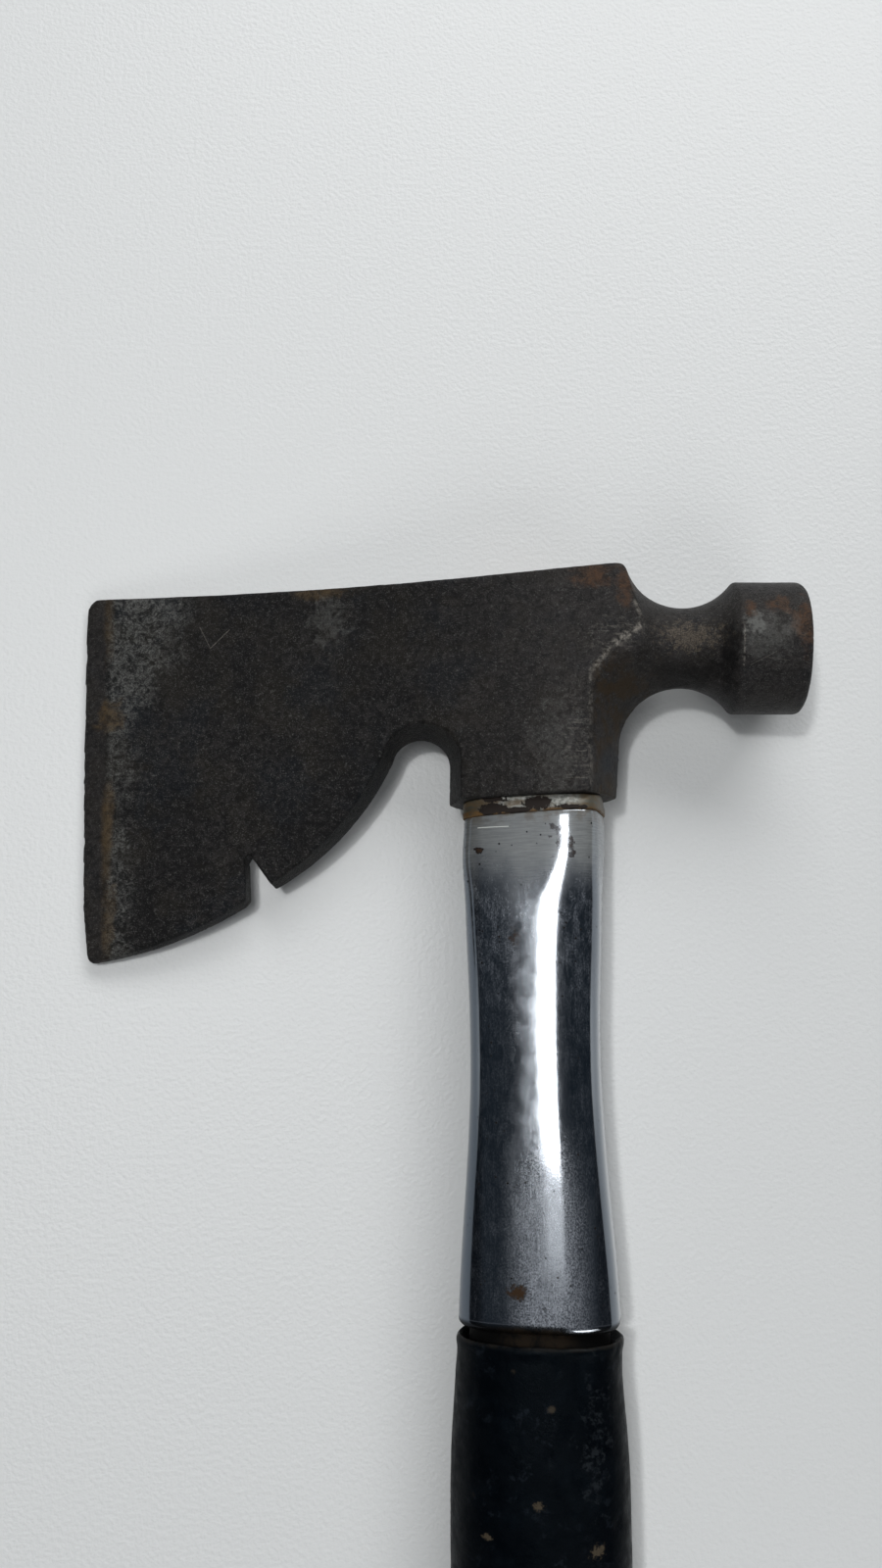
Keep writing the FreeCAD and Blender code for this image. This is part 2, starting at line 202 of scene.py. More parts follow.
def lofted(rings, close_start=True, close_end=True, loop=False):
    """Points and faces of a skin over rings with the same number of points."""
    count = len(rings[0])
    points = np.vstack(rings)
    faces = []
    pairs = len(rings) if loop else len(rings) - 1
    for r in range(pairs):
        a, b = r * count, (r + 1) % len(rings) * count
        for i in range(count):
            j = (i + 1) % count
            faces.append((a + i, a + j, b + j, b + i))
    if close_start and not loop:
        faces.append(tuple(range(count))[::-1])
    if close_end and not loop:
        last = (len(rings) - 1) * count
        faces.append(tuple(range(last, last + count)))
    return points, faces


def vertex_normals(points, faces):
    """Unit normals at the points of a mesh of quads, in the same units."""
    quads = np.array([f for f in faces if len(f) == 4])
    face_normals = np.cross(
        points[quads[:, 2]] - points[quads[:, 0]], points[quads[:, 3]] - points[quads[:, 1]]
    )
    normals = np.zeros_like(points)
    for k in range(4):
        np.add.at(normals, quads[:, k], face_normals)
    return normals / np.maximum(np.linalg.norm(normals, axis=1, keepdims=True), 1e-12)


def noise_at(points, size, seed=0.0):
    """Smooth noise from -1 to 1 at each point, with features of about that size."""
    shift = Vector((seed * 17.3, seed * 5.7, seed * 11.9))
    return np.array([noise.noise(Vector(p) / size + shift) for p in points])


# ---- the head ----

VOXEL = 0.42                # millimetres
# (X and Y of an outline corner, how far its rounding reaches, rounds of smoothing)
ROUNDED_CORNERS = [((22.6, 18.6), 3.0, 60), ((64.6, 13.6), 2.0, 20)]


def mesh_edges(mesh):
    edges = np.zeros(len(mesh.edges) * 2, int)
    mesh.edges.foreach_get("vertices", edges)
    return edges.reshape(-1, 2)


def neighbour_mean(values, edges, degree):
    total = np.zeros_like(values)
    np.add.at(total, edges[:, 0], values[edges[:, 1]])
    np.add.at(total, edges[:, 1], values[edges[:, 0]])
    return total / degree


def from_edge(points):
    """Distance in from the cutting edge, in the head's axes."""
    c, s = math.cos(EDGE_SLANT), math.sin(EDGE_SLANT)
    return (points[:, 0] - EDGE_X) * c + (points[:, 1] - EDGE_Y) * s


def make_head(material):
    """The forging: the CAD's head with softened edges, pits, dents and a nicked edge."""
    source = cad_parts["head"].data.copy()
    source.transform((MM @ HEAD).inverted())
    work = bpy.data.objects.new("head_work", source)
    bpy.context.scene.collection.objects.link(work)
    remesh = work.modifiers.new("remesh", "REMESH")
    remesh.mode = "VOXEL"
    remesh.voxel_size = VOXEL
    graph = bpy.context.evaluated_depsgraph_get()
    mesh = bpy.data.meshes.new_from_object(work.evaluated_get(graph))
    bpy.data.objects.remove(work)
    count = len(mesh.vertices)
    points = np.zeros(count * 3)
    mesh.vertices.foreach_get("co", points)
    points = points.reshape(-1, 3)
    edges = mesh_edges(mesh)
    degree = np.bincount(edges.ravel(), minlength=count)[:, None].astype(float)

    def normals():
        mesh.vertices.foreach_set("co", points.ravel())
        mesh.update()
        out = np.zeros(count * 3)
        mesh.vertices.foreach_get("normal", out)
        return out.reshape(-1, 3)

    for _ in range(5):
        points = points + 0.6 * (neighbour_mean(points, edges, degree) - points)
        points = points - 0.32 * (neighbour_mean(points, edges, degree) - points)
    for corner, reach, rounds in ROUNDED_CORNERS:
        away = ((points[:, :2] - np.array(corner)) ** 2).sum(1)
        near = np.exp(-(away / reach**2))[:, None]
        for _ in range(rounds):
            points = points + 0.5 * near * (neighbour_mean(points, edges, degree) - points)
    n = normals()
    sharp = -np.einsum("ij,ij->i", neighbour_mean(points, edges, degree) - points, n)[:, None]
    for _ in range(6):
        sharp = neighbour_mean(sharp, edges, degree)
    sharp = sharp[:, 0] / VOXEL

    # Forging relief, scale pits and small dents.
    inward = from_edge(points)
    body = np.clip(inward / 8, 0, 1)
    relief = 0.07 * noise_at(points, 9.0, 1) + 0.035 * noise_at(points, 3.1, 2)
    pits = np.clip(noise_at(points, 1.7, 3) - 0.42, 0, 1) * 0.35
    points = points + n * ((relief - pits) * (0.25 + 0.75 * body))[:, None]

    # Nicks in the cutting edge, deeper where the noise along it peaks.
    near = np.clip(1 - inward / 1.4, 0, 1)
    along = points.copy()
    along[:, [0, 2]] = 0
    nick = np.clip(noise_at(along, 2.6, 4) - 0.18, 0, 1)
    nick = nick + np.clip(noise_at(along, 9.0, 5), 0, 1) * 0.25
    points[:, 0] += near * nick * 0.8

    normals()
    wear = mesh.attributes.new("wear", "FLOAT", "POINT")
    wear.data.foreach_set("value", sharp.astype(np.float32))
    mesh.transform(MM @ HEAD)
    mesh.shade_smooth()
    mesh.materials.clear()
    mesh.materials.append(material)
    head = bpy.data.objects.new("forged_head", mesh)
    bpy.context.scene.collection.objects.link(head)
    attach(head, "root")
    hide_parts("head")
    return head


# ---- the handle ----

TUBE_POINTS = 160
HEAD_TOP = 18.0             # the tube's upper end, at the middle of the head
TOP_SLOPE = 0.085           # the head's top climbs this much towards the poll ...
TOP_LEAN = math.tan(math.radians(15.0))     # ... and falls away to both cheeks
EYE_END = -38.0             # where the part of the tube in the head's eye ends
LIP = 0.45                  # rounding of the tube's step under the collar
SHAFT_START = -44.5
SEAT_STEP = 0.6
DENTED = (-47.0, -150.0)    # the stretch of the tube with small dents
COLLAR_PROUD = 0.25         # the collar stands this far off the tube ...
COLLAR_ROUND = 0.25         # ... and has edges rounded this much


def mouth_y(x):
    """Y of the socket's slanted lower end, in the handle's axes."""
    return MOUTH + x * math.tan(MOUTH_SLOPE - HANG)


def slanted(ring, drop):
    """The ring laid in a plane that is parallel to the socket's lower end."""
    ring = ring.copy()
    ring[:, 1] = mouth_y(ring[:, 0]) - drop
    return ring


def tube_rings():
    """The tube's outside from the eye down, with its two steps, then its inside."""
    top = (HEAD_TOP, *sizes_at(EYE_OVALS, HEAD_TOP))
    eye_end = (EYE_END, *sizes_at(EYE_OVALS, EYE_END))
    outside = [oval(*row, TUBE_POINTS) for row in resampled([top, EYE_OVALS[1], eye_end], 4)]
    rim = outside[0]
    rim[:, 1] += rim[:, 0] * TOP_SLOPE - np.abs(rim[:, 2]) * TOP_LEAN
    _, half_width, half_thickness, squareness = SHAFT_OVALS[0]
    eye_low = (0, *sizes_at(EYE_OVALS, -42.0))
    outside.append(slanted(oval(*eye_low, TUBE_POINTS), COLLAR_HEIGHT))
    for share in (0.0, 0.35, 0.7, 1.0):
        turn = share * math.pi / 2
        shrink = LIP * (1 - math.sin(turn))
        step = oval(0, half_width - shrink, half_thickness - shrink, squareness, TUBE_POINTS)
        outside.append(slanted(step, COLLAR_HEIGHT + LIP * (1 - math.cos(turn))))
    low = SHAFT_OVALS[-1][0]
    for row in resampled(SHAFT_OVALS, 1.0):
        if low + SHOULDER < row[0] < SHAFT_START:
            outside.append(oval(*row, TUBE_POINTS))
    for turn in np.linspace(0, math.pi / 2, 9):
        y = low + SHOULDER * (1 - math.sin(turn))
        size = sizes_at(SHAFT_OVALS, y)
        shrink = SHOULDER * (1 - math.cos(turn))
        outside.append(oval(y, size[0] - shrink, size[1] - shrink, size[2], TUBE_POINTS))
    seat_top = sizes_at(SEAT_OVALS, low)
    outside.append(oval(low, *seat_top, TUBE_POINTS))
    for row in resampled([(low - SEAT_STEP, *seat_top), *SEAT_OVALS[1:]], 6):
        outside.append(oval(*row, TUBE_POINTS))
    inside = []
    for ring in reversed(outside[::3]):
        flat = ring * np.array([1, 0, 1])
        size = np.linalg.norm(flat, axis=1, keepdims=True)
        inside.append(flat * (1 - WALL / size) + ring * np.array([0, 1, 0]))
    inside[-1][:, 1] = outside[0][:, 1]
    inside[0][:, 1] = outside[-1][:, 1]
    return outside + inside


def make_tube(material):
    points, faces = lofted(tube_rings(), loop=True)
    n = vertex_normals(points, faces)
    shown = (points[:, 1] < DENTED[0]) & (points[:, 1] > DENTED[1])
    dents = 0.018 * noise_at(points, 16.0, 6) + 0.002 * noise_at(points, 3.0, 7)
    points = bend(points + n * (dents * shown)[:, None])
    return new_piece(
        "plated_tube", points, faces, HANDLE, material, "plated_tube", "handle_tube"
    )


def make_collar(material):
    """The thin band under the head, with a worn, slightly uneven lower edge."""
    _, half_width, half_thickness, squareness = SHAFT_OVALS[0]
    eye_width, eye_thickness, eye_squareness = sizes_at(EYE_OVALS, -41.0)
    rings = []

    def outer(drop, shrink=0.0):
        out = COLLAR_PROUD - shrink
        ring = oval(0, half_width + out, half_thickness + out, squareness, TUBE_POINTS)
        rings.append(slanted(ring, drop))

    def inner(drop):
        ring = oval(0, eye_width + FIT, eye_thickness + FIT, eye_squareness, TUBE_POINTS)
        rings.append(slanted(ring, drop))

    inner(0.0)
    outer(0.0, COLLAR_ROUND)
    outer(COLLAR_ROUND)
    for drop in np.linspace(0.6, COLLAR_HEIGHT - 0.3, 9):
        outer(drop)
    outer(COLLAR_HEIGHT - COLLAR_ROUND)
    outer(COLLAR_HEIGHT, COLLAR_ROUND)
    inner(COLLAR_HEIGHT)
    points, faces = lofted(rings, loop=True)
    n = vertex_normals(points, faces)
    flakes = np.clip(noise_at(points, 2.2, 8) - 0.05, 0, 1) * 0.22
    points = bend(points + n * flakes[:, None])
    return new_piece("neck_band", points, faces, HANDLE, material, "collar_steel", "neck_collar")


# ---- the grip ----

GRIP_POINTS = 176
GRIP_TOP = -159.4


def grip_rings():
    """The sleeve from inside its mouth, over its lip and down to the closed butt."""
    seat = sizes_at(SEAT_OVALS, GRIP_TOP)
    body = sizes_at(GRIP_OVALS, GRIP_TOP)
    rings = []

    def between(share, y, out=0.0):
        size = [s + (b - s) * share for s, b in zip(seat, body)]
        rings.append(oval(y, size[0] + out, size[1] + out, size[2], GRIP_POINTS))

    between(0.02, GRIP_TOP - 4.0)
    between(0.04, GRIP_TOP - 2.0)
    between(0.30, GRIP_TOP - 1.1)
    between(0.62, GRIP_TOP - 0.5)
    between(0.80, GRIP_TOP - 0.1)
    between(0.92, GRIP_TOP)
    between(1.0, GRIP_TOP - 0.25, 0.1)
    between(1.0, GRIP_TOP - 0.8, 0.28)
    between(1.0, GRIP_TOP - 1.6, 0.25)
    between(1.0, GRIP_TOP - 2.6, 0.05)
    end = GRIP_OVALS[-1][0]
    for row in resampled(GRIP_OVALS, 1.1):
        if end + BUTT_ROUNDING < row[0] < GRIP_TOP - 3.2:
            rings.append(oval(*row, GRIP_POINTS))
    for turn in np.linspace(0, math.pi / 2, 10):
        y = end + BUTT_ROUNDING * (1 - math.sin(turn))
        size = sizes_at(GRIP_OVALS, y)
        shrink = BUTT_ROUNDING * (1 - math.cos(turn))
        rings.append(oval(y, size[0] - shrink, size[1] - shrink, size[2], GRIP_POINTS))
    size = sizes_at(GRIP_OVALS, end)
    for share, rise in ((0.72, 0.0), (0.66, 0.5), (0.35, 0.7), (0.06, 0.75)):
        rings.append(oval(end + rise, size[0] * share, size[1] * share, size[2], GRIP_POINTS))
    return rings


def make_grip(material):
    points, faces = lofted(grip_rings())
    n = vertex_normals(points, faces)
    lip = np.exp(-(((points[:, 1] - GRIP_TOP) / 3.0) ** 2))
    swell = 0.16 * noise_at(points, 16.0, 9) + 0.05 * noise_at(points, 5.0, 10)
    cuts = np.clip(noise_at(points, 3.4, 11) - 0.45, 0, 1) * 0.9
    points = points + n * (swell * (1 - 0.5 * lip) - cuts)[:, None]
    ragged = noise_at(points * np.array([1, 0, 1]), 4.5, 12) * 0.22
    points[:, 1] += ragged * lip
    return new_piece("rubber_grip", bend(points), faces, HANDLE, material, "grip_rubber", "grip")


# ---- materials ----


def srgb(red, green, blue):
    """A colour given as 0 to 255 on screen, as the linear values that shaders use."""
    def linear(v):
        v = v / 255
        return v / 12.92 if v <= 0.04045 else ((v + 0.055) / 1.055) ** 2.4
    return (linear(red), linear(green), linear(blue), 1.0)


class Shader:
    """A material's nodes, with short ways to add them."""

    def __init__(self, name, axes):
        self.material = bpy.data.materials.new(name)
        self.material.use_nodes = True
        self.tree = self.material.node_tree
        self.tree.nodes.clear()
        self.out = self.tree.nodes.new("ShaderNodeOutputMaterial")
        self.surface = self.tree.nodes.new("ShaderNodeBsdfPrincipled")
        self.tree.links.new(self.surface.outputs["BSDF"], self.out.inputs["Surface"])
        self.place = self.local(axes)

    def link(self, source, socket):
        if hasattr(source, "is_output"):
            self.tree.links.new(source, socket)
        else:
            socket.default_value = source

    def local(self, axes):
        """Coordinates on those axes, in millimetres."""
        inverse = (MM @ axes).inverted()
        where = self.tree.nodes.new("ShaderNodeTexCoord")
        turn = self.tree.nodes.new("ShaderNodeMapping")
        turn.inputs["Location"].default_value = inverse.to_translation()
        turn.inputs["Rotation"].default_value = inverse.to_3x3().normalized().to_euler()
        turn.inputs["Scale"].default_value = (1000, 1000, 1000)
        self.tree.links.new(where.outputs["Object"], turn.inputs["Vector"])
        return turn.outputs["Vector"]

    def noise(self, size, detail=2.0, rough=0.5, seed=0.0, stretch=(1, 1, 1), distort=0.0):
        """Noise from 0 to 1 with features of that size in millimetres."""
        turn = self.tree.nodes.new("ShaderNodeMapping")
        self.link(self.place, turn.inputs["Vector"])
        turn.inputs["Scale"].default_value = [1 / (size * s) for s in stretch]
        turn.inputs["Location"].default_value = (seed * 7.31, seed * 3.17, seed * 5.03)
        node = self.tree.nodes.new("ShaderNodeTexNoise")
        self.link(turn.outputs["Vector"], node.inputs["Vector"])
        node.inputs["Scale"].default_value = 1.0
        node.inputs["Detail"].default_value = detail
        node.inputs["Roughness"].default_value = rough
        node.inputs["Distortion"].default_value = distort
        return node.outputs["Fac"]

    def cells(self, size, seed=0.0):
        """Distance to the nearest of many scattered points, in cell sizes."""
        turn = self.tree.nodes.new("ShaderNodeMapping")
        self.link(self.place, turn.inputs["Vector"])
        turn.inputs["Scale"].default_value = (1 / size,) * 3
        turn.inputs["Location"].default_value = (seed * 7.31, seed * 3.17, seed * 5.03)
        node = self.tree.nodes.new("ShaderNodeTexVoronoi")
        self.link(turn.outputs["Vector"], node.inputs["Vector"])
        node.inputs["Scale"].default_value = 1.0
        return node.outputs["Distance"]

    def axis(self, which):
        node = self.tree.nodes.new("ShaderNodeSeparateXYZ")
        self.link(self.place, node.inputs["Vector"])
        return node.outputs[which]

    def attribute(self, name):
        node = self.tree.nodes.new("ShaderNodeAttribute")
        node.attribute_name = name
        return node.outputs["Fac"]

    def math(self, how, a, b=0.0, c=0.0):
        node = self.tree.nodes.new("ShaderNodeMath")
        node.operation = how
        for value, socket in zip((a, b, c), node.inputs):
            self.link(value, socket)
        return node.outputs[0]

    def times(self, *values):
        total = values[0]
        for value in values[1:]:
            total = self.math("MULTIPLY", total, value)
        return total

    def ramp(self, value, low, high, start=0.0, end=1.0):
        """Start below low, end above high, and a smooth change between."""
        node = self.tree.nodes.new("ShaderNodeMapRange")
        node.interpolation_type = "SMOOTHSTEP"
        self.link(value, node.inputs["Value"])
        if low > high:
            low, high, start, end = high, low, end, start
        node.inputs["From Min"].default_value = low
        node.inputs["From Max"].default_value = high
        node.inputs["To Min"].default_value = start
        node.inputs["To Max"].default_value = end
        return node.outputs["Result"]

    def mix(self, share, a, b):
        """Colour a where share is 0 and b where it is 1."""
        node = self.tree.nodes.new("ShaderNodeMix")
        node.data_type = "RGBA"
        self.link(share, node.inputs[0])
        self.link(a, node.inputs[6])
        self.link(b, node.inputs[7])
        return node.outputs[2]

    def blob(self, x, y, half_x, half_y, side=1, ragged=0.5, grain=3.0):
        """A soft stain about a point of the X-Y plane, on one side of the blade."""
        dx = self.math("DIVIDE", self.math("SUBTRACT", self.axis("X"), x), half_x)
        dy = self.math("DIVIDE", self.math("SUBTRACT", self.axis("Y"), y), half_y)
        far = self.math("SQRT", self.math("ADD", self.times(dx, dx), self.times(dy, dy)))
        uneven = self.math("SUBTRACT", self.noise(grain, 4, 0.65), 0.5)
        wild = self.math("MULTIPLY", uneven, ragged * 3)
        stain = self.ramp(self.math("ADD", far, wild), 1.15, 0.35)
        face = self.ramp(self.math("MULTIPLY", self.axis("Z"), side), -0.3, 0.3)
        return self.times(stain, face)

    def stroke(self, start, end, half, soft=0.3):
        """A line between two points of the X-Y plane."""
        (x0, y0), (x1, y1) = start, end
        length = math.hypot(x1 - x0, y1 - y0)
        ux, uy = (x1 - x0) / length, (y1 - y0) / length
        dx = self.math("SUBTRACT", self.axis("X"), x0)
        dy = self.math("SUBTRACT", self.axis("Y"), y0)
        along = self.math("ADD", self.times(dx, ux), self.times(dy, uy))
        across = self.math("SUBTRACT", self.times(dx, uy), self.times(dy, ux))
        line = self.ramp(self.math("ABSOLUTE", across), half * (1 + soft), half * (1 - soft))
        ends = self.times(
            self.ramp(along, -half, half), self.ramp(along, length + half, length - half)
        )
        return self.times(line, ends)

    def any(self, *masks):
        """The greatest of the masks."""
        most = masks[0]
        for mask in masks[1:]:
            most = self.math("MAXIMUM", most, mask)
        return most

    def bump(self, height, depth, under=None):
        """Bump of that depth in millimetres, on top of another one."""
        node = self.tree.nodes.new("ShaderNodeBump")
        node.inputs["Strength"].default_value = 1.0
        node.inputs["Distance"].default_value = depth * 0.001
        self.link(height, node.inputs["Height"])
        if under is not None:
            self.link(under, node.inputs["Normal"])
        return node.outputs["Normal"]

    def finish(self, **inputs):
        names = {
            "color": "Base Color", "rough": "Roughness", "metal": "Metallic", "normal": "Normal",
        }
        for key, value in inputs.items():
            self.link(value, self.surface.inputs[names.get(key, key)])
        return self.material


DARK_SCALE = srgb(13, 13, 14)
BROWN_SCALE = srgb(24, 22, 19)
BLUE_SCALE = srgb(13, 18, 24)
PALE_SCALE_AND_SHEEN = srgb(62, 59, 58)
BARE_STEEL = srgb(116, 117, 114)
WORN_STEEL = srgb(158, 153, 144)
OCHRE = srgb(76, 62, 42)
ORANGE_RUST = srgb(78, 56, 40)
BROWN_RUST = srgb(50, 40, 27)
SOOT_AND_SHADE = srgb(7, 7, 8)


def head_material():
    s = Shader("forged_patina", HEAD)
    x, y = s.axis("X"), s.axis("Y")
    inward = s.math(
        "ADD",
        s.math("MULTIPLY", s.math("SUBTRACT", x, EDGE_X), math.cos(EDGE_SLANT)),
        s.math("MULTIPLY", s.math("SUBTRACT", y, EDGE_Y), math.sin(EDGE_SLANT)),
    )
    cloud = s.noise(13.0, 5, 0.6)
    fibre = s.noise(2.3, 6, 0.72, seed=4, distort=1.2)
    grit = s.noise(1.1, 5, 0.75, seed=2)
    fine = s.noise(0.32, 3, 0.7, seed=1)
    color = s.mix(s.ramp(cloud, 0.42, 0.60), DARK_SCALE, BROWN_SCALE)
    color = s.mix(s.ramp(s.noise(17, 5, 0.65, seed=3), 0.50, 0.64, 0, 0.6), color, BLUE_SCALE)
    pale = s.ramp(s.noise(15, 4, 0.6, seed=9), 0.38, 0.60, 0.25, 1.0)
    pale = s.times(s.ramp(fibre, 0.46, 0.60), pale)
    color = s.mix(s.times(pale, 0.27), color, PALE_SCALE_AND_SHEEN)
    # Painted sheen: the head is made paler towards the poll, as if the faces there caught more
    # light.
    painted_sheen_towards_poll = s.times(s.ramp(x, -34, 14), s.ramp(fibre, 0.36, 0.6, 0.4, 1.0))
    color = s.mix(s.times(painted_sheen_towards_poll, 0.46), color, PALE_SCALE_AND_SHEEN)
    color = s.mix(s.times(s.ramp(grit, 0.47, 0.60), 0.10), color, PALE_SCALE_AND_SHEEN)
    specks = s.times(s.ramp(fine, 0.53, 0.64), s.ramp(grit, 0.42, 0.58))
    color = s.mix(s.times(specks, 0.36), color, BARE_STEEL)
    soot = s.times(s.ramp(fine, 0.48, 0.36), s.ramp(grit, 0.56, 0.42))
    color = s.mix(s.times(soot, 0.7), color, SOOT_AND_SHADE)

    # The bare band beside the bevel, wider towards the top.
    wander = s.math("SUBTRACT", s.noise(8, 6, 0.68, seed=5, distort=0.8), 0.5)
    wander = s.math("MULTIPLY", wander, 22)
    wide = s.ramp(y, -30, 12, 12.0, 27.0)
    band = s.times(
        s.ramp(s.math("ADD", inward, s.math("MULTIPLY", wander, 0.12)), 5.4, 7.6),
        s.ramp(s.math("SUBTRACT", s.math("ADD", inward, wander), wide), 4.0, -7.0),
        s.ramp(fibre, 0.40, 0.58, 0.10, 1.0),
        s.ramp(grit, 0.40, 0.56, 0.30, 1.0),
        s.ramp(fine, 0.38, 0.56, 0.35, 1.0),
    )
    color = s.mix(s.times(band, 0.56), color, BARE_STEEL)
    bevel = s.times(s.ramp(inward, BEVEL, 5.0), s.ramp(grit, 0.36, 0.60, 0.3, 1.0))
    color = s.mix(s.times(bevel, 0.30), color, PALE_SCALE_AND_SHEEN)

    # Rust along the line where the bevel starts.
    line = s.times(
        s.ramp(s.math("ABSOLUTE", s.math("SUBTRACT", inward, BEVEL)), 2.1, 0.1),
        s.ramp(s.noise(11, 4, 0.6, seed=6, stretch=(1, 2, 1)), 0.40, 0.60),
        s.ramp(fibre, 0.3, 0.6, 0.3, 1.0),
    )
    color = s.mix(s.times(line, 0.55), color, OCHRE)
    broken = s.times(s.ramp(fibre, 0.38, 0.56, 0.35, 1.0), s.ramp(grit, 0.36, 0.56, 0.5, 1.0))

    # Rust spots, ochre and orange, then patches that are worn bare.
    for spot, share in (
        (s.blob(-104.4, -17.5, 4.2, 5.0, ragged=0.7), 0.85),
        (s.blob(-103.0, -44.0, 2.0, 8.0, ragged=0.7), 0.6),
        (s.blob(-101.4, -68.0, 2.0, 10.0, ragged=0.7), 0.6),
        (s.blob(-53.2, 12.8, 8.0, 2.2, ragged=0.7), 0.7),
    ):
        color = s.mix(s.times(spot, broken, share), color, OCHRE)
    for spot in (
        s.blob(15.0, 14.1, 6.0, 3.0, ragged=0.8),
        s.blob(22.3, 12.0, 2.6, 6.0, ragged=0.8),
        s.blob(63.6, 2.4, 3.0, 8.0, ragged=0.9),
        s.blob(58.2, 6.6, 3.2, 2.4, ragged=1.0),
        s.blob(51.2, 5.2, 1.7, 3.0, ragged=0.8),
        s.blob(-70.0, -35.0, 12.0, 7.0, side=-1, ragged=0.8),
        s.blob(58.0, -4.0, 6.0, 8.0, side=-1, ragged=0.8),
        s.blob(-104.0, -30.0, 3.0, 16.0, side=-1, ragged=0.8),
    ):
        color = s.mix(s.times(spot, broken, 0.80), color, ORANGE_RUST)
    for spot, share in (
        (s.blob(-49.5, 6.0, 4.6, 6.5, ragged=1.7, grain=2.0), 0.17),
        (s.blob(52.0, 1.2, 3.0, 3.0, ragged=1.0, grain=2.0), 0.55),
        (s.blob(55.0, -1.5, 7.5, 6.0, ragged=1.0), 0.24),
        (s.blob(6.0, -28.0, 6.0, 14.0, ragged=1.5, grain=2.0), 0.13),
    ):
        color = s.mix(s.times(spot, s.ramp(grit, 0.34, 0.56, 0.2, 1.0), share), color, BARE_STEEL)
    # A lighter patch along the middle of the neck.
    lighter_neck_patch = s.blob(37.5, 0.3, 8.0, 4.0, ragged=1.2, grain=1.2)
    lighter_neck_patch = s.times(lighter_neck_patch, s.ramp(fine, 0.36, 0.58, 0.2, 1.0))
    color = s.mix(s.times(lighter_neck_patch, 0.34), color, srgb(124, 112, 96))

    # Painted shade in the neck's creases, and brown rust behind the socket.
    painted_crease_shade = s.any(
        s.blob(37.0, -8.0, 10.0, 3.6, ragged=0.5), s.blob(46.6, -4.0, 2.2, 9.0, ragged=0.4)
    )
    color = s.mix(s.times(painted_crease_shade, 0.6), color, SOOT_AND_SHADE)
    behind = s.times(s.ramp(x, 13.5, 16.5), s.ramp(x, 34.0, 24.0), s.ramp(y, -2, -12))
    behind = s.times(behind, s.ramp(s.noise(4, 5, 0.65, seed=7), 0.42, 0.58))
    color = s.mix(s.times(behind, 0.85), color, BROWN_RUST)
    # Painted bluish sheen where the socket's back wall rounds away.
    color = s.mix(s.times(s.blob(19.5, -29.5, 4.0, 4.0), 0.5), color, srgb(34, 42, 50))

    # Worn ridges, brightest where the cheek meets the neck, and a few scratches.
    ridge = s.any(
        s.stroke((26.4, 2.5), (19.2, -3.2), 0.85, 0.9),
        s.stroke((19.2, -3.2), (13.9, -9.5), 0.5, 0.9),
        s.times(s.stroke((13.9, -9.5), (14.0, -36.5), 0.45, 0.9), 0.5),
        s.times(s.stroke((24.4, 8.0), (26.4, 2.5), 0.4, 0.9), 0.6),
    )
    ridge = s.times(ridge, s.ramp(fibre, 0.40, 0.60, 0.05, 1.0), s.ramp(grit, 0.40, 0.56, 0.2, 1.0))
    handled = s.any(
        s.blob(19.0, 0.0, 8.0, 6.5, ragged=0.4), s.blob(11.0, -28.0, 4.5, 15.0, ragged=0.4)
    )
    patchy = s.math("MULTIPLY", s.math("SUBTRACT", fibre, 0.5), 0.16)
    wear = s.math("ADD", s.attribute("wear"), patchy)
    wear = s.ramp(s.math("ADD", wear, s.math("MULTIPLY", handled, 0.045)), 0.065, 0.17)
    strokes = s.noise(0.7, 4, 0.7, seed=8, stretch=(9, 0.6, 9))
    rub = s.times(handled, s.ramp(strokes, 0.50, 0.66), s.ramp(grit, 0.40, 0.60))
    scratches = s.any(
        s.times(s.stroke((-82.5, 4.9), (-79.5, -0.7), 0.10), 0.5),
        s.times(s.stroke((-79.5, -0.7), (-74.8, 4.1), 0.10), 0.7),
        s.times(s.stroke((51.0, -8.0), (57.0, -5.0), 0.10, 0.9), 0.3),
        s.times(s.stroke((55.0, -6.4), (60.0, -7.0), 0.09, 0.9), 0.3),
        s.times(s.stroke((49.6, 1.5), (49.5, -8.0), 0.18, 0.9), s.ramp(grit, 0.42, 0.6)),
    )
    scratches = s.times(scratches, s.ramp(fine, 0.36, 0.50, 0.3, 1.0))
    color = s.mix(s.times(rub, 0.26), color, WORN_STEEL)
    color = s.mix(s.times(scratches, 0.40), color, WORN_STEEL)
    color = s.mix(s.times(ridge, 0.62), color, WORN_STEEL)
    bright = s.math("ADD", 0.14, s.math("MULTIPLY", handled, 0.30))
    color = s.mix(s.times(wear, bright), color, WORN_STEEL)
    # A painted bluish highlight along the rounded lower edge of the blade.
    painted_edge_highlight = s.times(
        s.attribute("wear"), s.ramp(x, -30, -34), s.ramp(x, -60, -52), s.ramp(y, -14, -20)
    )
    color = s.mix(s.times(s.ramp(painted_edge_highlight, 0.05, 0.16), 0.45), color, srgb(96, 108, 122))
    shine = s.any(s.times(band, 0.5), wear, rub, ridge)
    rough = s.math("ADD", s.ramp(grit, 0.3, 0.7, 0.44, 0.62), s.math("MULTIPLY", shine, -0.08))
    grain = s.bump(fibre, 0.26)
    grain = s.bump(fine, 0.09, grain)
    grain = s.bump(grit, 0.20, grain)
    s.surface.inputs["Specular IOR Level"].default_value = 0.16
    return s.finish(
        color=color,
        rough=rough,
        metal=s.math("ADD", 0.10, s.math("MULTIPLY", shine, 0.4)),
        normal=grain,
    )


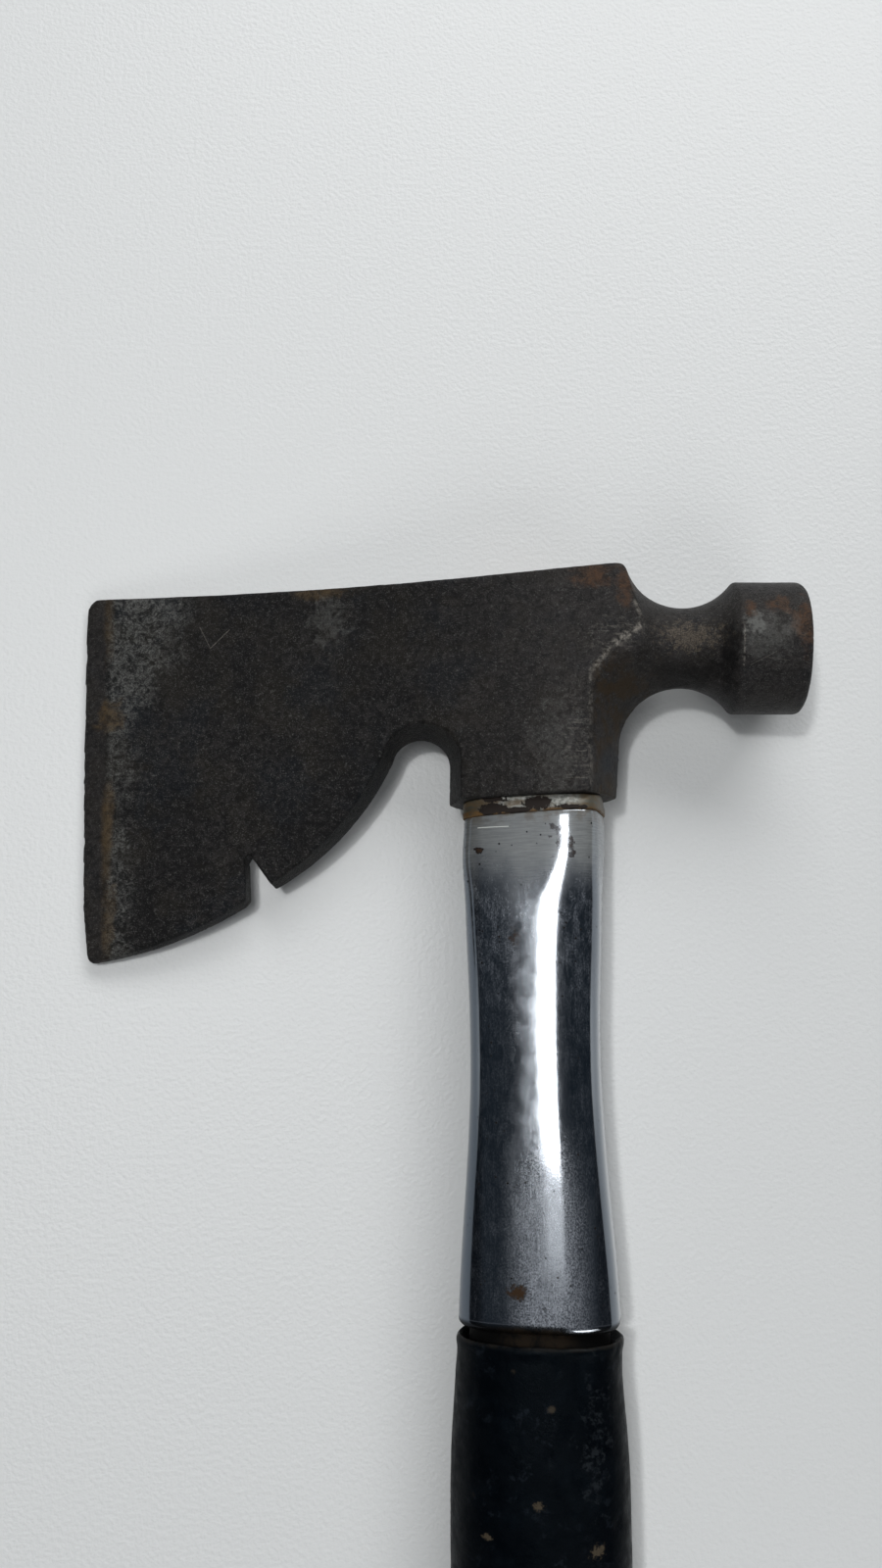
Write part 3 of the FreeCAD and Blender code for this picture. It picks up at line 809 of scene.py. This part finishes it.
def tube_material():
    """Thin chromium over steel: a mirror, a blurred one over it, and matt scuffs on top, with
    painted shade and a painted highlight in their colours.
    """
    s = Shader("pitted_plating", HANDLE)
    x, y = s.axis("X"), s.axis("Y")
    fine = s.noise(0.27, 3, 0.72, seed=4, stretch=(1, 1.5, 1))
    fibre = s.noise(2.6, 6, 0.74, seed=3, stretch=(1, 1.8, 1), distort=0.6)
    cloud = s.noise(11.0, 5, 0.62, seed=8, stretch=(1, 1.5, 1))
    brushed = s.noise(1.0, 5, 0.75, seed=10, stretch=(0.5, 5, 0.5))
    turned = s.noise(0.5, 4, 0.7, seed=12, stretch=(9, 0.6, 9))
    unsure = s.math("SUBTRACT", cloud, 0.5)
    pits = s.ramp(s.cells(1.9, seed=1), 0.17, 0.08)
    pits = s.times(pits, s.ramp(s.noise(9, 3, 0.6, seed=2), 0.50, 0.60))
    worn = s.ramp(s.math("ADD", y, s.math("MULTIPLY", unsure, 18)), -67.0, -48.5)
    low = s.ramp(s.math("ADD", y, s.math("MULTIPLY", unsure, 26)), -106.0, -148.0)
    middle = s.ramp(s.math("ABSOLUTE", s.math("SUBTRACT", x, 2.6)), 13.0, 1.0)
    grain = s.times(s.ramp(fine, 0.42, 0.62, 0.3, 1.6), s.ramp(brushed, 0.38, 0.64, 0.5, 1.4))

    # The scuffs' share: dust all over, satin under the collar with less of it on the left as
    # painted shade, and haze above the grip, greatest along the tube's middle as a painted
    # highlight.
    dust = s.times(s.ramp(y, -100, -56, 0.026, 0.110), s.ramp(fibre, 0.34, 0.62, 0.2, 1.7), grain)
    satin = s.times(worn, s.ramp(turned, 0.36, 0.64, 0.30, 0.46), s.ramp(x, -17, 0, 0.75, 1.0))
    haze_and_painted_highlight = s.times(
        low,
        s.ramp(middle, 0, 1, 0.02, 0.34),
        s.ramp(fine, 0.40, 0.62, 0.35, 1.4),
        s.ramp(fibre, 0.3, 0.6, 0.7, 1.05),
    )
    scratch = s.stroke((-12.6, -45.7), (-5.2, -45.7), 0.10)
    dust = s.any(dust, satin, haze_and_painted_highlight, s.times(scratch, 0.75))

    # The blurred mirror's share.
    blur = s.times(s.ramp(y, -120, -60, 0.03, 0.035), s.ramp(cloud, 0.36, 0.62, 0.3, 1.3), grain)
    blur = s.any(blur, s.times(worn, 0.16), s.times(s.ramp(y, -108, -126), middle, grain, 0.30))

    # Rust and dirt, and painted shade in the groove above the grip and on the shoulder except at
    # one glint, which the scuffs' layer carries as well.

    rust = s.any(
        s.blob(-4.3, -148.6, 2.4, 1.7, ragged=0.8, grain=0.9),
        s.times(s.blob(-12.2, -51.0, 1.3, 1.0, ragged=0.9), 0.8),
        s.times(s.blob(-4.2, -71.5, 1.1, 2.0, ragged=1.8, grain=0.7), 0.6),
        s.times(s.blob(7.0, -50.0, 2.6, 3.0, ragged=1.6), 0.7),
    )
    stain = s.times(s.ramp(y, -46.5, -42.8), s.ramp(s.noise(3, 5, 0.65, seed=9), 0.44, 0.58))
    # Painted shade: the groove at the tube's step above the grip goes near-black, and so does the
    # shoulder above it except where one glint stays.
    glint = s.ramp(s.math("ABSOLUTE", s.math("SUBTRACT", x, 8.8)), 1.6, 4.0)
    corner = s.times(s.ramp(y, -155.0, -156.3), glint)
    painted_groove_shade = s.any(s.ramp(y, -156.4, -157.4), s.times(corner, 0.9))
    brown = s.times(painted_groove_shade, s.ramp(s.math("ABSOLUTE", x), 10.0, 5.0), s.ramp(fibre, 0.36, 0.58))
    top = s.times(s.ramp(y, 14.0, 15.0), s.ramp(s.noise(2, 4, 0.6, seed=6), 0.3, 0.55, 0.5, 1.0))
    dark_marks = s.any(pits, rust, painted_groove_shade, top)
    veil_color = s.mix(worn, srgb(150, 156, 166), srgb(166, 169, 168))
    veil_color = s.mix(low, veil_color, srgb(156, 161, 171))
    veil_color = s.mix(s.times(stain, 0.5), veil_color, srgb(120, 98, 62))
    veil_color = s.mix(s.times(scratch, 0.8), veil_color, srgb(224, 228, 222))
    veil_color = s.mix(s.ramp(pits, 0, 0.3), veil_color, srgb(24, 20, 17))
    veil_color = s.mix(s.ramp(s.any(rust, top), 0, 0.25), veil_color, srgb(52, 38, 26))
    veil_color = s.mix(s.ramp(painted_groove_shade, 0, 0.3), veil_color, srgb(9, 9, 9))
    veil_color = s.mix(s.times(brown, 0.6), veil_color, srgb(40, 32, 23))
    # Painted shade: the plating's colour darkens towards both sides of the tube.
    painted_shade_sides = s.any(s.times(s.ramp(x, 12.0, 14.0), 0.75), s.ramp(x, -11.0, -13.6))
    plating_and_shade = s.mix(painted_shade_sides, srgb(190, 196, 203), srgb(100, 108, 118))

    uneven = s.bump(s.noise(4.5, 3, 0.6, seed=6), 0.012)
    uneven = s.bump(fine, 0.004, uneven)
    uneven = s.bump(s.math("MULTIPLY", top, -1.0), 0.03, uneven)
    veil = s.tree.nodes.new("ShaderNodeBsdfPrincipled")
    scuffs = s.tree.nodes.new("ShaderNodeBsdfPrincipled")
    scuffs.inputs["Specular IOR Level"].default_value = 0.1
    for surface, shade, metal, rough in (
        (s.surface, plating_and_shade, 1.0, s.ramp(fibre, 0.3, 0.7, 0.065, 0.12)),
        (veil, plating_and_shade, 1.0, s.ramp(fine, 0.3, 0.7, 0.30, 0.38)),
        (scuffs, veil_color, 0.0, 0.7),
    ):
        s.link(shade, surface.inputs["Base Color"])
        s.link(metal, surface.inputs["Metallic"])
        s.link(rough, surface.inputs["Roughness"])
        s.link(uneven, surface.inputs["Normal"])
    below = s.surface.outputs["BSDF"]
    for share, over in ((blur, veil), (s.any(dust, dark_marks), scuffs)):
        both = s.tree.nodes.new("ShaderNodeMixShader")
        s.link(share, both.inputs["Fac"])
        s.link(below, both.inputs[1])
        s.link(over.outputs["BSDF"], both.inputs[2])
        below = both.outputs["Shader"]
    s.link(below, s.out.inputs["Surface"])
    return s.material


def collar_material():
    s = Shader("flaked_collar", HANDLE)
    x, y = s.axis("X"), s.axis("Y")
    grit = s.noise(0.8, 4, 0.65, seed=3)
    flakes = s.any(
        s.blob(-8.6, -41.4, 4.4, 1.7, ragged=0.45, grain=1.3),
        s.blob(1.4, -40.4, 4.0, 2.0, ragged=0.45, grain=1.3),
        s.blob(-3.2, -42.0, 4.0, 0.9, ragged=0.25, grain=1.3),
        s.times(s.blob(-9.0, -39.2, 4.0, 0.9, ragged=0.8, grain=1.3), 0.8),
        s.times(s.blob(9.5, -41.6, 6.0, 0.8, ragged=0.6, grain=1.3), 0.7),
    )
    flakes = s.ramp(flakes, 0.30, 0.55)
    stain = s.ramp(s.noise(4.5, 5, 0.65, seed=2, stretch=(1.5, 0.5, 1.5)), 0.44, 0.60)
    color = s.mix(s.ramp(grit, 0.36, 0.64), srgb(104, 105, 100), srgb(156, 157, 152))
    # Painted shade: the band darkens towards both sides.
    color = s.mix(s.ramp(x, -6, -15), color, srgb(70, 70, 62))
    color = s.mix(s.ramp(x, 8, 14), color, srgb(92, 92, 84))
    color = s.mix(s.times(stain, 0.65), color, srgb(98, 78, 50))
    line = s.times(s.ramp(y, -41.3, -42.0), s.ramp(s.noise(3.0, 4, 0.6, seed=5), 0.30, 0.46))
    color = s.mix(s.times(line, 0.9), color, srgb(96, 70, 36))
    # Painted shade: a near-black strip along the top, where the band meets the head.
    color = s.mix(s.ramp(y, -38.9, -38.3), color, srgb(14, 13, 12))
    color = s.mix(flakes, color, srgb(30, 23, 19))
    dark_marks = s.any(flakes, s.times(line, 0.7))
    relief = s.bump(flakes, 0.15)
    relief = s.bump(grit, 0.05, relief)
    return s.finish(
        color=color,
        rough=s.ramp(dark_marks, 0, 1, 0.46, 0.85),
        metal=s.math("SUBTRACT", 0.35, s.math("MULTIPLY", dark_marks, 0.35)),
        normal=relief,
    )


def grip_material():
    s = Shader("scuffed_rubber", HANDLE)
    y = s.axis("Y")
    bloom = s.ramp(s.noise(9.0, 5, 0.65, seed=1), 0.48, 0.72)
    dust = s.ramp(s.cells(9.0, seed=2), 0.12, 0.04)
    dust = s.times(
        dust,
        s.ramp(s.noise(20, 2, 0.5, seed=3), 0.52, 0.62),
        s.ramp(s.noise(0.7, 3, 0.6), 0.4, 0.6, 0.1, 0.6),
    )
    dust = s.any(
        dust,
        s.blob(-0.5, -190.4, 1.3, 0.9, ragged=1.1, grain=0.9),
        s.blob(-11.4, -197.4, 1.1, 0.8, ragged=1.1, grain=0.9),
        s.blob(11.6, -199.2, 1.5, 1.3, ragged=1.4, grain=0.9),
        s.times(s.blob(2.5, -171.5, 1.2, 0.8, ragged=1.2), 0.6),
    )
    smudge = s.blob(12.0, -178.0, 3.5, 12.0, ragged=1.6)
    smudge = s.times(smudge, s.ramp(s.noise(1.6, 5, 0.7, seed=7), 0.46, 0.6))
    color = s.mix(bloom, srgb(1, 3, 6), srgb(4, 8, 13))
    mottle = s.times(
        s.ramp(s.noise(2.4, 4, 0.7, seed=9), 0.54, 0.66),
        s.ramp(s.noise(12, 3, 0.6, seed=10), 0.46, 0.58),
    )
    color = s.mix(s.times(mottle, 0.22), color, srgb(40, 46, 54))
    color = s.mix(s.times(smudge, 0.45), color, srgb(42, 46, 50))
    color = s.mix(s.times(dust, 0.8), color, srgb(72, 64, 52))
    lip = s.ramp(s.noise(3, 4, 0.6, seed=8), 0.40, 0.6, 0.1, 1.0)
    lip = s.times(s.ramp(y, -160.4, -159.6), lip)
    color = s.mix(s.times(lip, 0.30), color, srgb(48, 42, 34))
    rough = s.ramp(s.noise(3.2, 4, 0.6, seed=4), 0.3, 0.7, 0.38, 0.58)
    skin = s.bump(s.noise(0.5, 3, 0.6, seed=5), 0.035)
    skin = s.bump(s.noise(3.4, 4, 0.6, seed=6), 0.16, skin)
    s.surface.inputs["Specular IOR Level"].default_value = 0.09
    s.surface.inputs["Specular Tint"].default_value = (0.72, 0.88, 1.0, 1.0)
    return s.finish(color=color, rough=rough, normal=skin)


def wood_material(name, dark, light):
    s = Shader(name, HANDLE)
    rings = s.noise(1.1, 3, 0.6, seed=1, stretch=(6, 40, 1), distort=0.4)
    pores = s.ramp(s.cells(0.7, seed=2), 0.24, 0.12)
    color = s.mix(s.ramp(rings, 0.35, 0.65), dark, light)
    color = s.mix(s.times(pores, 0.7), color, srgb(38, 26, 18))
    grain = s.bump(rings, 0.15)
    return s.finish(color=color, rough=s.ramp(rings, 0.3, 0.7, 0.62, 0.8), normal=grain)


def wedge_material():
    s = Shader("rusty_wedge", HANDLE)
    patch = s.noise(2.0, 4, 0.65, seed=1)
    color = s.mix(s.ramp(patch, 0.4, 0.6), srgb(64, 56, 50), srgb(112, 66, 38))
    return s.finish(
        color=color,
        rough=s.ramp(patch, 0.3, 0.7, 0.5, 0.8),
        metal=s.ramp(patch, 0.6, 0.4, 0, 0.7),
        normal=s.bump(s.noise(0.6, 3, 0.6), 0.12),
    )


def floor_material():
    material = bpy.data.materials.new("pale_table")
    material.use_nodes = True
    tree = material.node_tree
    surface = tree.nodes["Principled BSDF"]
    surface.inputs["Base Color"].default_value = srgb(214, 216, 216)
    surface.inputs["Roughness"].default_value = 0.42
    where = tree.nodes.new("ShaderNodeTexCoord")
    grain = tree.nodes.new("ShaderNodeTexNoise")
    grain.inputs["Scale"].default_value = 900
    grain.inputs["Detail"].default_value = 2
    bump = tree.nodes.new("ShaderNodeBump")
    bump.inputs["Distance"].default_value = 0.00018
    tree.links.new(where.outputs["Object"], grain.inputs["Vector"])
    tree.links.new(grain.outputs["Fac"], bump.inputs["Height"])
    tree.links.new(bump.outputs["Normal"], surface.inputs["Normal"])
    return material


# ---- table, lights and camera ----


TABLE_HALF = 3.0            # metres, as are the lamps' places and sizes
PANEL = Vector((-0.232, 0.17, 1.0))
PANEL_END = Vector((-0.232, -0.150, 1.0))
MIDDLE = (0, 0.1, 0)        # what the broad lamps face


def make_floor():
    corners = [(x * TABLE_HALF, y * TABLE_HALF, 0) for x, y in ((-1, -1), (1, -1), (1, 1), (-1, 1))]
    mesh = bpy.data.meshes.new("table")
    mesh.from_pydata(corners, [], [(0, 1, 2, 3)])
    mesh.materials.append(floor_material())
    floor = bpy.data.objects.new("table", mesh)
    floor.location.z = cad_box[0].z
    bpy.context.scene.collection.objects.link(floor)


def area_light(name, at, aim, size, power):
    """A rectangular lamp, placed and aimed in metres in the row frame."""
    lamp = bpy.data.lights.new(name, "AREA")
    lamp.shape = "RECTANGLE"
    lamp.size, lamp.size_y = size
    lamp.energy = power
    light = bpy.data.objects.new(name, lamp)
    light.location = at
    light.rotation_euler = (Vector(aim) - Vector(at)).to_track_quat("-Z", "Y").to_euler()
    bpy.context.scene.collection.objects.link(light)
    return light


def make_lights():
    """A narrow panel overhead that fades at one end, a small lamp and two broad soft ones."""
    world = bpy.data.worlds.new("room")
    world.use_nodes = True
    back = world.node_tree.nodes["Background"]
    back.inputs["Color"].default_value = (0.52, 0.74, 1.0, 1)
    back.inputs["Strength"].default_value = 0.022
    bpy.context.scene.world = world
    down = Vector((0, 0, -1))
    area_light("panel", PANEL, PANEL + down, (0.185, 0.53), 2.6)
    area_light("panel_end", PANEL_END, PANEL_END + down, (0.185, 0.11), 0.046)
    key = area_light("key", (-0.46, 0.235, 1.5), (0.03, 0.12, 0), (0.09, 0.09), 6.6)
    key.visible_glossy = False
    area_light("bounce", (0.6, -1.3, 1.1), MIDDLE, (1.2, 0.7), 7)
    area_light("wall", (0.45, 1.5, 1.1), MIDDLE, (1.8, 0.8), 23)


CAMERA_AT = Vector((-3.28, -88.31, 300.22))
CAMERA_AIM = Vector((-21.65, -34.06, 0.0))
CAMERA_ROLL = math.radians(0.94)
LENS = 28.78


def make_camera():
    data = bpy.data.cameras.new("camera")
    data.lens = LENS
    data.sensor_width = 36
    data.clip_start, data.clip_end = 0.01, 50
    camera = bpy.data.objects.new("camera", data)
    forward = (CAMERA_AIM - CAMERA_AT).normalized()
    right = forward.cross(Vector((0, 1, 0))).normalized()
    up = right.cross(forward)
    turn = Matrix((right, up, -forward)).transposed().to_4x4()
    turn = turn @ Matrix.Rotation(CAMERA_ROLL, 4, "Z")
    placed = HEAD @ Matrix.Translation(CAMERA_AT) @ turn
    place, spin, _ = placed.decompose()
    camera.location = place / 1000
    camera.rotation_mode = "QUATERNION"
    camera.rotation_quaternion = spin
    bpy.context.scene.collection.objects.link(camera)
    bpy.context.scene.camera = camera


def dress(node, material):
    """Gives a CAD node that stays in view its material."""
    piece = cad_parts[node]
    piece.data.materials.clear()
    piece.data.materials.append(material)


bpy.context.scene.view_settings.view_transform = "Standard"
make_floor()
make_lights()
make_camera()
make_head(head_material())
make_tube(tube_material())
make_collar(collar_material())
make_grip(grip_material())
dress("core_plug", wood_material("core_wood", srgb(96, 66, 40), srgb(140, 104, 66)))
dress("head_wedge", wedge_material())
dress("butt_plug", wood_material("plug_wood", srgb(120, 90, 58), srgb(166, 130, 88)))
